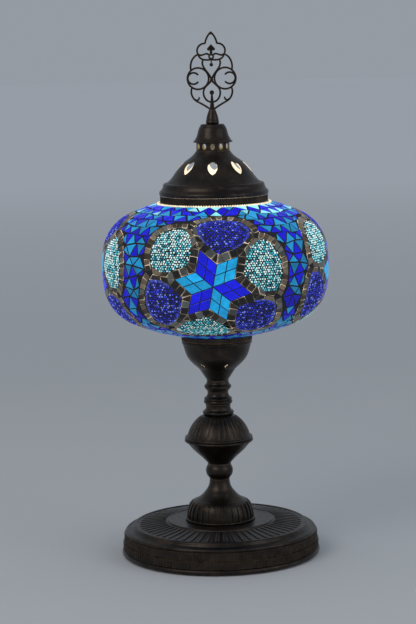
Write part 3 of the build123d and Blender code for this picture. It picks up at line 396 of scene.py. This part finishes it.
# ------------------------------------------------------------------ pieces of the mosaic
class Pieces:
    """Many small pieces of one kind, gathered into one mesh with a tint on each piece."""

    def __init__(self):
        self.points = []
        self.faces = []
        self.tints = []

    def ring(self, points, colours):
        """Adds points with their tints, and returns their numbers; one tint serves for all of them."""
        first = len(self.points)
        self.points += points
        self.tints += [(*colours[i % len(colours)], 1.0) for i in range(len(points))]
        return list(range(first, len(self.points)))

    def bridge(self, first, second):
        """A band of faces between two rings."""
        for i in range(len(first)):
            k = (i + 1) % len(first)
            self.faces.append((first[i], first[k], second[k], second[i]))

    def tile(self, corners, middle, colour, gap=grout_gap, depth=tile_depth, jitter=0.1 * MM):
        """One cut tile from its flat corners: straight sides, a small bevel and a slightly tilted top.

        The colour is one tint, or a list with a tint for each corner.
        """
        colours = colour if isinstance(colour, list) else [colour]
        shrunk = inset(corners, gap)
        crown = inset(corners, gap + tile_bevel)
        if shrunk is None or crown is None:
            return
        tilt = [depth + random.uniform(-jitter, jitter) for _ in corners]
        foot = self.ring([on_globe(x, y, middle, grout_depth + tile_wall) for x, y in shrunk], colours)
        edge = self.ring([on_globe(x, y, middle, d + tile_wall) for (x, y), d in zip(shrunk, tilt)], colours)
        top = self.ring([on_globe(x, y, middle, d) for (x, y), d in zip(crown, tilt)], colours)
        self.bridge(foot, edge)
        self.bridge(edge, top)
        x, y = (sum(corner[axis] for corner in crown) / len(crown) for axis in (0, 1))
        crest = self.ring([on_globe(x, y, middle, depth + crest_depth)], colours)[0]
        self.faces += [(top[i - 1], top[i], crest) for i in range(len(top))]
        self.faces.append(tuple(reversed(foot)))

    def ball(self, centre, colour, size, shape, rough=False):
        """A faceted chip or a round bead, from a unit ball's points and faces."""
        points, faces = shape
        turn = Euler([random.uniform(0, tau) for _ in range(3)]).to_matrix()
        sides = [random.uniform(chip_squeeze, 1.0) if rough else 1.0 for _ in range(3)]
        squeeze = Matrix.Diagonal(sides) * size
        first = self.ring([centre + squeeze @ (turn @ point) for point in points], [colour])[0]
        self.faces += [tuple(first + i for i in face) for face in faces]

    def finish(self, name, material, body, slot, smooth=False):
        """Makes the mesh, with its tints, and puts it on a body."""
        data = bpy.data.meshes.new(name)
        data.from_pydata(self.points, [], self.faces)
        tint = data.color_attributes.new("tint", "FLOAT_COLOR", "POINT")
        tint.data.foreach_set("color", [c for colour in self.tints for c in colour])
        mesh = bmesh.new()
        mesh.from_mesh(data)
        bmesh.ops.recalc_face_normals(mesh, faces=mesh.faces)
        mesh.to_mesh(data)
        mesh.free()
        return add_piece(name, data, material, body, smooth)


def add_piece(name, data, material, body, smooth):
    """A mesh as a piece of the lamp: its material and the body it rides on."""
    for face in data.polygons:
        face.use_smooth = smooth
    data.materials.append(material)
    piece = bpy.data.objects.new(name, data)
    bpy.context.scene.collection.objects.link(piece)
    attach(piece, body)
    return piece


def unit_ball(subdivisions):
    """Points and faces of a ball of radius 1."""
    mesh = bmesh.new()
    bmesh.ops.create_icosphere(mesh, subdivisions=subdivisions, radius=1.0)
    points = [vert.co.copy() for vert in mesh.verts]
    faces = [tuple(vert.index for vert in face.verts) for face in mesh.faces]
    mesh.free()
    return points, faces


def area_of(corners):
    """Area of a flat outline, positive if it runs anticlockwise."""
    return sum(a[0] * b[1] - b[0] * a[1] for a, b in zip(corners, corners[1:] + corners[:1])) / 2


def inset(corners, gap):
    """A convex flat outline drawn in by a gap, or None where nothing is left of it."""
    turn = 1 if area_of(corners) > 0 else -1
    moved = []
    for i, corner in enumerate(corners):
        sides = []
        for a, b in ((corners[i - 1], corner), (corner, corners[(i + 1) % len(corners)])):
            run = max(hypot(b[0] - a[0], b[1] - a[1]), 1e-9)
            sides.append((-turn * (b[1] - a[1]) / run, turn * (b[0] - a[0]) / run))
        x, y = sides[0][0] + sides[1][0], sides[0][1] + sides[1][1]
        long = max(x * x + y * y, 0.3)      # a very sharp corner is drawn in less
        moved.append((corner[0] + 2 * gap * x / long, corner[1] + 2 * gap * y / long))
    left = turn * area_of(moved)
    if left < smallest_top or left > turn * area_of(corners):
        return None
    return moved


def height_share(run):
    """0 at the tiles' lower edge, 1 at their upper edge."""
    return (run - run_low) / (run_top - run_low)


def light_at(run):
    """The upper tiles are lit more than the lower ones."""
    lowest, gain = 0.42, 0.72
    return lowest + gain * height_share(run)


def shade(colour, run, spread_by=0.16):
    """A piece's tint: the glass's colour, lighter or darker from piece to piece, times the painted light of
    light_at, which is stronger higher up.
    """
    level = light_at(run) * random.uniform(1 - spread_by, 1 + spread_by)
    return tuple(min(c * level * random.uniform(0.95, 1.05), 1.0) for c in colour)


# colours of the lit glass; a tuple of colours is a mixture
SKY = (0.010, 0.25, 0.52)
STAR_SKY = (0.012, 0.41, 0.80)
COBALT = (0.006, 0.006, 0.56)
STAR_COBALT = (0.008, 0.012, 0.78)
PALE = (0.30, 0.80, 0.92)
SMOKE = ((0.012, 0.009, 0.006), (0.03, 0.022, 0.014), (0.006, 0.006, 0.006), (0.075, 0.085, 0.085))
STRIP = ((0.05, 0.034, 0.02), (0.09, 0.066, 0.042), (0.025, 0.018, 0.012), (0.16, 0.13, 0.09),
         (0.10, 0.11, 0.10))
CREAM = (0.86, 0.70, 0.48)
ICE = ((0.70, 1.0, 0.98), (0.26, 0.84, 0.90), (0.04, 0.47, 0.58), (0.01, 0.18, 0.27), (0.97, 1.0, 1.0))
BLUE = ((0.008, 0.012, 0.46), (0.03, 0.05, 0.78), (0.003, 0.005, 0.17), (0.20, 0.28, 0.98),
        (0.005, 0.01, 0.28))

# how much light leaks past a dark tile's corner, and how often each amount occurs
LEAKS = (0.02, 0.1, 0.45, 1.35)
LEAK_ODDS = (36, 22, 20, 22)


def petals(sky, cobalt, middle):
    """The six-pointed star: each petal is four small rhombi."""
    for number, turn in enumerate(petal_turns):
        one = polar((0, 0), star_side / 2, turn - 30)
        two = polar((0, 0), star_side / 2, turn + 30)
        for i in range(2):
            for j in range(2):
                corners = [(a * one[0] + b * two[0], a * one[1] + b * two[1] + medallion_drop)
                           for a, b in ((i, j), (i + 1, j), (i + 1, j + 1), (i, j + 1))]
                pieces, colour = (sky, STAR_SKY) if number % 2 == 0 else (cobalt, STAR_COBALT)
                pieces.tile(corners, middle, shade(colour, corners[0][1]))


def along(turn, x, y):
    """A point given along and across a direction from the star's centre."""
    across, up = cos(radians(turn)), sin(radians(turn))
    return (x * across - y * up, x * up + y * across)


def between(first, last, share):
    """A flat point a share of the way from the first to the last."""
    return (first[0] + (last[0] - first[0]) * share, first[1] + (last[1] - first[1]) * share)


def dark_tile(smoke, beds, corners, middle, colours):
    """A dark tile on its bed; here and there the light leaks round it."""
    corners = [(x, y + medallion_drop) for x, y in corners]
    run = corners[0][1]
    smoke.tile(corners, middle, shade(random.choice(colours), run, 0.3), gap=strip_gap)
    lit = shade(CREAM, run)
    leaks = random.choices(LEAKS, LEAK_ODDS, k=len(corners))
    colours = [tuple(leak * c for c in lit) for leak in leaks]
    beds.tile(corners, middle, colours, gap=0.0, depth=bed_depth, jitter=0.0)


def borders(smoke, beds, middle):
    """Dark tiles along each petal's outer edges, mitred in the notches, and on to the scallops."""
    arm = [(61.7, 0), (70.5, 0), (82.0, 0), (86.5, 8.6), (68.5, 6.0), (56.6, 9.4)]
    for turn in petal_turns:
        tip = polar((0, 0), 2 * star_side * cos(radians(30)), turn)
        point = polar(tip, 1.05 * strip_width, turn)
        for side in (1, -1):
            notch = polar((0, 0), star_side, turn + side * 30)
            out = polar((0, 0), strip_width, turn + side * 60)
            for i in range(strips_per_side):
                a = between(notch, tip, i / strips_per_side)
                b = between(notch, tip, (i + 1) / strips_per_side)
                a_out = (a[0] + out[0], a[1] + out[1])
                if i == 0:
                    a_out = polar(notch, strip_width / sin(radians(60)), turn + side * 30)
                dark_tile(smoke, beds, [a, b, (b[0] + out[0], b[1] + out[1]), a_out], middle, SMOKE)
            dark_tile(smoke, beds, [tip, point, (tip[0] + out[0], tip[1] + out[1])], middle, SMOKE)
            # two more tiles lead on to the scallops, between the crushed glass on either side
            first, second, end, far, near, wing = [along(turn, x * MM, side * y * MM) for x, y in arm]
            dark_tile(smoke, beds, [first, second, near, wing], middle, SMOKE)
            dark_tile(smoke, beds, [second, end, far, near], middle, STRIP)


def scallops(strips, beds, middle):
    """Strip tiles along the medallion's scalloped edge."""
    arc = 2 * scallop_half / scallop_strips
    for turn in lobe_turns:
        centre = polar((0, 0), lobe_reach, turn)
        for i in range(scallop_strips):
            first = turn - scallop_half + arc * i
            last = first + arc
            wobble = random.uniform(-strip_wobble, strip_wobble)
            corners = [polar(centre, ring_inner + wobble, first), polar(centre, ring_outer + wobble, first),
                       polar(centre, ring_outer + wobble, last), polar(centre, ring_inner + wobble, last)]
            dark_tile(strips, beds, corners, middle, STRIP)


def lobe_outline(turn):
    """The fan of crushed glass between two petals: a V towards the star, a round back towards the scallop."""
    radius = ring_inner - lobe_clear
    half = 52.0                    # half the round back's arc, in degrees
    steps = 14
    side = [(41.9, 0), (54.5, 21.8), (59.5, 27.6), (66, 31.8), (73, 34.4)]
    points = [(x * MM, y * MM) for x, y in side]
    points += [polar((lobe_reach, 0), radius, half * (1 - 2 * i / steps)) for i in range(steps + 1)]
    points += [(x * MM, -y * MM) for x, y in reversed(side[1:])]
    turned = [along(turn, x, y) for x, y in points]
    return [(x, y + medallion_drop) for x, y in turned]


def inside(point, corners):
    """Whether a flat point lies in a flat outline."""
    x, y = point
    found = False
    for (ax, ay), (bx, by) in zip(corners, corners[1:] + corners[:1]):
        if (ay > y) != (by > y) and x < (bx - ax) * (y - ay) / (by - ay) + ax:
            found = not found
    return found


def crushed_glass(ice, blue, beds, middle):
    """Chips of glass packed into each lobe, on a bed that glows between them."""
    chip = unit_ball(1)
    for number, turn in enumerate(lobe_turns):
        corners = lobe_outline(turn)
        pieces, colours = (ice, ICE) if number % 2 == 0 else (blue, BLUE)
        hub = (sum(x for x, _ in corners) / len(corners), sum(y for _, y in corners) / len(corners))
        base = tuple(0.25 * c for c in colours[3])
        for a, b in zip(corners, corners[1:] + corners[:1]):
            beds.tile([hub, a, b], middle, base, gap=0.0, depth=bed_depth, jitter=0.0)
        low_x, high_x = min(x for x, _ in corners), max(x for x, _ in corners)
        low_y, high_y = min(y for _, y in corners), max(y for _, y in corners)
        row_pitch = chip_pitch * chip_rows
        rows = ceil((high_y - low_y) / row_pitch)
        columns = ceil((high_x - low_x) / chip_pitch) + 1
        for row in range(rows):
            for column in range(columns):
                x = low_x + chip_pitch * (column + 0.5 * (row % 2))
                x += random.uniform(-chip_wobble, chip_wobble)
                y = low_y + row_pitch * (row + 0.5)
                y += random.uniform(-chip_wobble, chip_wobble)
                if inside((x, y), corners):
                    size = random.uniform(*chip_sizes)
                    upper = height_share(y)
                    # Painted light in the ice lobes: higher up the lighter chips grow likelier and the darker
                    # ones rarer; the blue lobes' mix shifts with height too.
                    odds = (8 + 36 * upper, 22, 36 - 22 * upper, 22 - 18 * upper, 4 + 16 * upper)
                    colour = random.choices(colours, odds)[0]
                    centre = on_globe(x, y, middle, size * chip_sunk)
                    pieces.ball(centre, shade(colour, y, 0.1), size, chip, rough=True)


def push_out(x, y):
    """Moves a flat point of the field, measured between two medallions, out of the nearer one."""
    quarter = outline(y)[0] * radians(180 / medallions)
    side = 1 if x > 0 else -1
    x -= side * quarter
    edge = ring_outer + field_clear
    for _ in range(3):             # out of one scallop may be into the next
        for turn in lobe_turns:
            centre = polar((0, medallion_drop), lobe_reach, turn)
            away = hypot(x - centre[0], y - centre[1])
            if away < edge - 1e-6:
                x, y = between(centre, (x, y), edge / max(away, 1e-6))
    return (x + side * quarter, y)


def in_medallion(x, y):
    """Whether a flat point of the field lies on a medallion."""
    quarter = outline(y)[0] * radians(180 / medallions)
    x -= quarter if x > 0 else -quarter
    centres = [polar((0, medallion_drop), lobe_reach, turn) for turn in lobe_turns]
    near = min(hypot(x - centre[0], y - centre[1]) for centre in centres)
    return near < ring_outer or hypot(x, y - medallion_drop) < lobe_reach


def row_line(row, rows, x):
    """Height along the outline of the joint under a row: hand laid, so it wanders a little."""
    run = run_low + (run_top - run_low) * row / rows
    if row in (0, rows):
        return run
    slow = 1.7 * MM * sin(x / (11 * MM) + 2.3 * row)
    quick = 0.9 * MM * sin(x / (4.3 * MM) + row)
    return run + slow + quick


def field(sky, cobalt, middle):
    """Triangles in two blues, in rows, from one medallion to the next and on up to the cap."""
    rows = ceil((run_top - run_low) / row_height)
    quarter = radians(360 / medallions)
    for row in range(rows):
        radius = outline(run_low + (run_top - run_low) * (row + 0.5) / rows)[0]
        count = max(least_in_row, round(quarter * radius / row_base)) * 2
        shift = [random.uniform(-field_shift, field_shift) for _ in range(count + 3)]
        shift[:3] = shift[-3:] = [0.0] * 3
        for i in range(count):
            pointing_up = (i + row) % 2 == 0
            flat = []
            for k in (0, 2, 1):
                turn = quarter * ((i + k - 0.5) / count - 0.5)
                x = turn * radius
                line = row if (k == 1) != pointing_up else row + 1
                y = row_line(line, rows, x)
                flat.append((turn * outline(y)[0] + shift[i + k], y))
            centre = (sum(x for x, _ in flat) / 3, sum(y for _, y in flat) / 3)
            if in_medallion(*centre):
                continue
            corners = [push_out(x, y) for x, y in flat]
            if abs(area_of(corners)) < smallest_field:
                continue
            swapped = random.random() < 0.1
            if (i % 2 == 0) != swapped:
                colour = PALE if row >= rows - 2 and random.random() < 0.4 else SKY
                sky.tile(corners, middle, shade(colour, centre[1], 0.28), gap=field_gap, jitter=0.15 * MM)
            else:
                cobalt.tile(corners, middle, shade(COBALT, centre[1], 0.28), gap=field_gap, jitter=0.15 * MM)


def lathe(name, profile, steps, material, body):
    """A closed section turned round the axis."""
    mesh = bmesh.new()
    rings = []
    for step in range(steps):
        turn = tau * step / steps
        rings.append([mesh.verts.new((r * sin(turn), -r * cos(turn), z)) for r, z in profile])
    for step in range(steps):
        first, second = rings[step], rings[(step + 1) % steps]
        for i in range(len(profile)):
            k = (i + 1) % len(profile)
            mesh.faces.new((first[i], second[i], second[k], first[k]))
    bmesh.ops.recalc_face_normals(mesh, faces=mesh.faces)
    data = bpy.data.meshes.new(name)
    mesh.to_mesh(data)
    mesh.free()
    return add_piece(name, data, material, body, smooth=True)


def mosaic(by_slot):
    """The whole glass coat: grout shell, star, borders, scallops, crushed glass, field and the bead trim."""
    steps = 60
    runs = [run_low + (run_top - run_low) * i / steps for i in range(steps + 1)]
    section = [outline(run, grout_depth) for run in runs]
    section += [outline(run, coat_thick) for run in reversed(runs)]
    shell = lathe("grout_shell", section, 180, by_slot["mosaic"], "lamp")
    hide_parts("mosaic_coat")

    names = ("star_sky", "star_cobalt", "smoke_tiles", "strip_tiles", "light_beds", "crushed_ice",
             "crushed_cobalt", "field_sky", "field_cobalt")
    kinds = {name: Pieces() for name in names}
    for number in range(medallions):
        middle = medallion_turn + number * 360 / medallions
        petals(kinds["star_sky"], kinds["star_cobalt"], middle)
        borders(kinds["smoke_tiles"], kinds["light_beds"], middle)
        scallops(kinds["strip_tiles"], kinds["light_beds"], middle)
        crushed_glass(kinds["crushed_ice"], kinds["crushed_cobalt"], kinds["light_beds"], middle)
        field(kinds["field_sky"], kinds["field_cobalt"], middle + 180 / medallions)
    cut = lit_glass("cut_glass", 0.95, 160.0, 0.2, 0.1)
    chips = lit_glass("crushed_glass", 1.0, 420.0, 0.2, 0.08)
    smoked = lit_glass("smoked_glass", 0.8, 200.0, 0.18, 0.3)
    glow = lit_glass("bed_glow", 1.0, 300.0, 0.5, 0.0)
    finish = {"smoke_tiles": smoked, "strip_tiles": smoked, "light_beds": glow, "crushed_ice": chips,
              "crushed_cobalt": chips}
    for name, pieces in kinds.items():
        pieces.finish(name, finish.get(name, cut), "lamp", "mosaic")
    trim(glow)


def trim(material):
    """A string of small cream beads round the tiles' upper edge."""
    beads = Pieces()
    bead = unit_ball(2)
    middle_z = (trim_low.z + trim_high.z) / 2
    tube = (trim_high.z - trim_low.z) / 2
    ring = trim_high.x - tube
    count = round(tau * ring / (bead_pitch * tube))
    for i in range(count):
        turn = tau * i / count
        centre = Vector((ring * sin(turn), -ring * cos(turn), middle_z))
        # Painted glow: the beads take the beds' emissive material, so they shine cream as if lit from behind.
        beads.ball(centre, shade(CREAM, run_top, 0.2), tube * bead_fill, bead)
    piece = beads.finish("trim_bead_string", material, "lamp", "trim_beads", smooth=True)
    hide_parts("trim_ring")


# ------------------------------------------------------------------ stage, light, camera
def stage():
    """A wide floor and an even sky of the studio's colour."""
    bpy.ops.mesh.primitive_plane_add(size=60)
    floor = bpy.context.object
    floor.name = "floor"
    floor.data.materials.append(floor_material())

    world = bpy.data.worlds.new("studio")
    world.use_nodes = True
    background = world.node_tree.nodes["Background"]
    background.inputs["Color"].default_value = (*STUDIO, 1)
    background.inputs["Strength"].default_value = STUDIO_STRENGTH
    bpy.context.scene.world = world


def soft_light(name, place_at, aim, size, power, colour):
    """A round soft box that looks at a point."""
    data = bpy.data.lights.new(name, "AREA")
    data.shape = "DISK"
    data.size = size
    data.energy = power
    data.color = colour
    lamp = bpy.data.objects.new(name, data)
    bpy.context.scene.collection.objects.link(lamp)
    lamp.location = place_at
    lamp.rotation_euler = (Vector(aim) - Vector(place_at)).to_track_quat("-Z", "Y").to_euler()


def lights():
    """Two soft boxes in front, and the bulb's own light."""
    centre = (0, 0, 0.35)          # half the lamp's height
    soft_light("key", (-1.6, -1.8, 2.0), centre, 1.8, 17, (1.0, 0.97, 0.93))
    soft_light("fill", (2.0, -1.2, 1.2), centre, 2.0, 9, (0.85, 0.92, 1.0))
    glow = bpy.data.lights.new("bulb_light", "POINT")
    glow.energy = 2.0
    glow.color = (1.0, 0.8, 0.55)
    glow.shadow_soft_size = 0.02
    bulb = bpy.data.objects.new("bulb_light", glow)
    bpy.context.scene.collection.objects.link(bulb)
    bulb.location = (0, 0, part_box("bulb_mount")[1].z)


def camera():
    """The view from 2.7 m, at the finial's height, through a long lens, and very slightly rolled."""
    data = bpy.data.cameras.new("camera")
    data.lens = 117.7
    data.sensor_width = 36.0
    eye = bpy.data.objects.new("camera", data)
    bpy.context.scene.collection.objects.link(eye)
    pitch, roll = 7.67, -1.19
    eye.location = (-0.011, -2.682, 0.687)
    eye.rotation_mode = "QUATERNION"
    level = Euler((radians(90 - pitch), 0, 0)).to_quaternion()
    eye.rotation_quaternion = level @ Euler((0, 0, radians(roll))).to_quaternion()
    bpy.context.scene.camera = eye


mosaic(cad_materials())
stage()
lights()
camera()
bpy.context.scene.view_settings.view_transform = "Standard"
